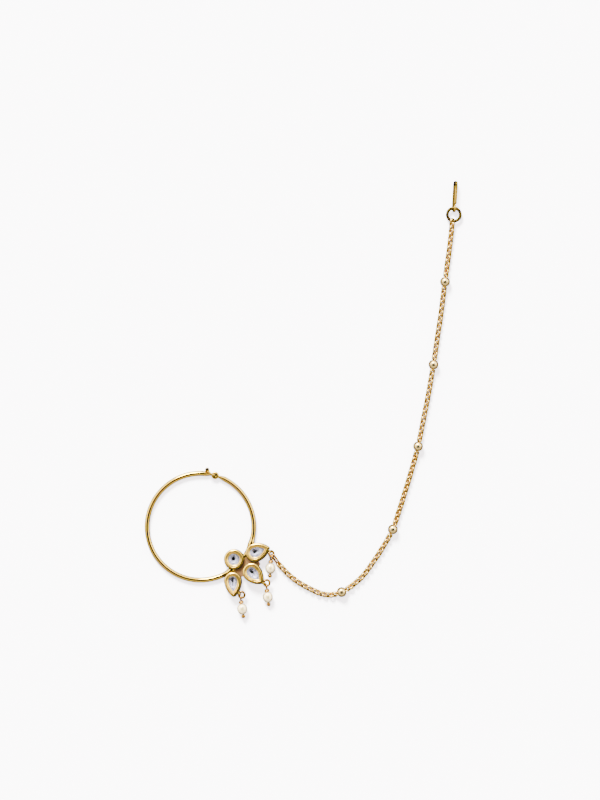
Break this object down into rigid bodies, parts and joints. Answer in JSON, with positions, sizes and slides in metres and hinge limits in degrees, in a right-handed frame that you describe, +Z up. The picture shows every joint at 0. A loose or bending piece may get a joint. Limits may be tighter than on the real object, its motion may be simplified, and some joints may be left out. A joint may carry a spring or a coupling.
{
  "type": "nose ring with chain",
  "caption": "Gold wire nose hoop with closed-back stone settings, pearl drops, and a beaded belcher chain that ends in a ring and a hair hook.",
  "frame": {"origin": "middle of the laid-out jewel's bounding box, on the surface that it lies on", "axes": "+Z up from the surface; +Y from the drops towards the hair hook, the long way; +X from the hoop towards the chain's beads"},
  "size_m": [0.1153, 0.1591, 0.0045],
  "materials": {
    "gold": "polished yellow gold plate",
    "chain_gold": "polished gold plate, a little rosier than the hoop",
    "stone_glass": "clear cut glass over a silvered back",
    "pearl": "cream pearl lustre"
  },
  "bodies": {
    "root": {"nose_hoop": "gold", "stone_round": "stone_glass", "stone_upper": "stone_glass", "stone_middle": "stone_glass", "stone_lower": "stone_glass", "jump_ring_upper": "gold", "jump_ring_middle": "gold", "jump_ring_lower": "gold", "drop_pin_upper": "gold", "drop_pin_middle": "gold", "drop_pin_lower": "gold", "pearl_upper": "pearl", "pearl_middle": "pearl", "pearl_lower": "pearl", "oval_ring": "chain_gold", "chain_1": "chain_gold", "chain_2": "chain_gold", "chain_3": "chain_gold", "chain_4": "chain_gold", "chain_5": "chain_gold", "chain_6": "chain_gold", "bead_1": "gold", "bead_2": "gold", "bead_3": "gold", "bead_4": "gold", "bead_5": "gold", "bead_pin_1": "gold", "bead_pin_2": "gold", "bead_pin_3": "gold", "bead_pin_4": "gold", "bead_pin_5": "gold", "end_ring": "gold", "hair_hook": "gold"}
  },
  "joints": []
}
